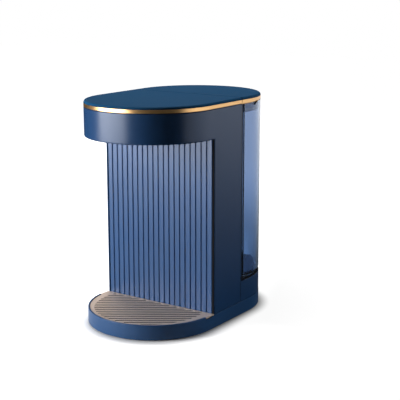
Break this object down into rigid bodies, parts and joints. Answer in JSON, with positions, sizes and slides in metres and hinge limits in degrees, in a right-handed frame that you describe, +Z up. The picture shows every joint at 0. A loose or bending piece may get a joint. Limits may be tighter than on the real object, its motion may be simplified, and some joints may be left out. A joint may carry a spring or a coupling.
{
  "type": "formula water warmer",
  "caption": "Free-standing water warmer with a clear lift-off rear tank, a ribbed column, an overhanging outlet head above a slotted drip tray and a metal-banded touch top.",
  "frame": {"origin": "middle of the footprint on the ground under the feet", "axes": "+X to the right seen from the front, the outlet and the tray face -Y, the tank is on +Y, +Z up"},
  "size_m": [0.1324, 0.2046, 0.2205],
  "materials": {
    "navy_plastic": "satin",
    "panel_plastic": "satin",
    "gold_trim": "brushed gold anodised",
    "grille_metal": "brushed champagne anodised",
    "clear_blue_plastic": "translucent blue",
    "frosted_plastic": "frosted translucent",
    "dark_plastic": "satin",
    "inner_plastic": "satin",
    "rubber": "matt",
    "hose_silicone": "translucent matt",
    "steel": "brushed",
    "motor_can": "zinc plated",
    "heater_film": "printed film",
    "circuit_board": "solder mask"
  },
  "bodies": {
    "chassis": {"base_shell": "navy_plastic", "bottom_cover": "navy_plastic", "main_housing": "navy_plastic", "head_underside": "navy_plastic", "top_cover": "navy_plastic", "rear_cover": "navy_plastic", "ribbed_panel": "panel_plastic", "front_trim": "gold_trim", "outlet_nozzle": "dark_plastic", "pump_housing": "dark_plastic", "pump_cover": "dark_plastic", "motor_clamp": "dark_plastic", "heater_clamp_lower": "dark_plastic", "heater_clamp_upper": "dark_plastic", "board_components": "dark_plastic", "inner_frame": "inner_plastic", "tank_socket": "inner_plastic", "heater_cap_lower": "inner_plastic", "heater_cap_upper": "inner_plastic", "thermal_cutout": "inner_plastic", "foot_front_left": "rubber", "foot_rear_left": "rubber", "foot_front_right": "rubber", "foot_rear_right": "rubber", "cord_gland": "rubber", "socket_seal": "rubber", "pump_pad": "rubber", "touch_pad": "rubber", "inlet_hose": "hose_silicone", "heater_hose": "hose_silicone", "outlet_hose": "hose_silicone", "base_screws": "steel", "heater_tube": "steel", "temperature_sensor": "steel", "hose_clips": "steel", "pump_motor": "motor_can", "heater_tracks": "heater_film", "touch_board": "circuit_board", "power_board": "circuit_board"},
    "basin": {"drip_basin": "dark_plastic"},
    "grille": {"drip_grille": "grille_metal"},
    "tank": {"water_tank": "clear_blue_plastic", "valve_cage": "inner_plastic", "float_housing": "inner_plastic"},
    "lid": {"tank_lid": "navy_plastic", "lid_skirt": "frosted_plastic", "lid_trim": "gold_trim", "lid_gasket": "rubber"},
    "valve": {"valve_plunger": "inner_plastic", "valve_seal": "rubber", "valve_spring": "steel"},
    "float": {"level_float": "inner_plastic", "float_magnet": "steel"},
    "rotor": {"impeller": "dark_plastic", "motor_shaft": "steel"}
  },
  "joints": [
    {"name": "basin_lift", "type": "slide", "parent": "chassis", "child": "basin", "axis": [0, 0, 1], "range_m": [0, 0.05]},
    {"name": "grille_lift", "type": "slide", "parent": "basin", "child": "grille", "axis": [0, 0, 1], "range_m": [0, 0.06]},
    {"name": "tank_lift", "type": "slide", "parent": "chassis", "child": "tank", "axis": [0, 0, 1], "range_m": [0, 0.056]},
    {"name": "lid_lift", "type": "slide", "parent": "tank", "child": "lid", "axis": [0, 0, 1], "range_m": [0, 0.03]},
    {"name": "valve_close", "type": "slide", "parent": "tank", "child": "valve", "axis": [0, 0, 1], "range_m": [-0.0028, 0], "deforming": ["valve_spring"]},
    {"name": "float_rise", "type": "slide", "parent": "tank", "child": "float", "axis": [0, 0, 1], "range_m": [0, 0.004]},
    {"name": "pump_spin", "type": "hinge", "parent": "chassis", "child": "rotor", "pos_m": [-0.035, -0.004, 0.022], "axis": [0, 0, 1], "continuous": true}
  ],
  "couplings": [
    {"joint": "valve_close", "follows": "tank_lift", "ratio": -0.05}
  ]
}
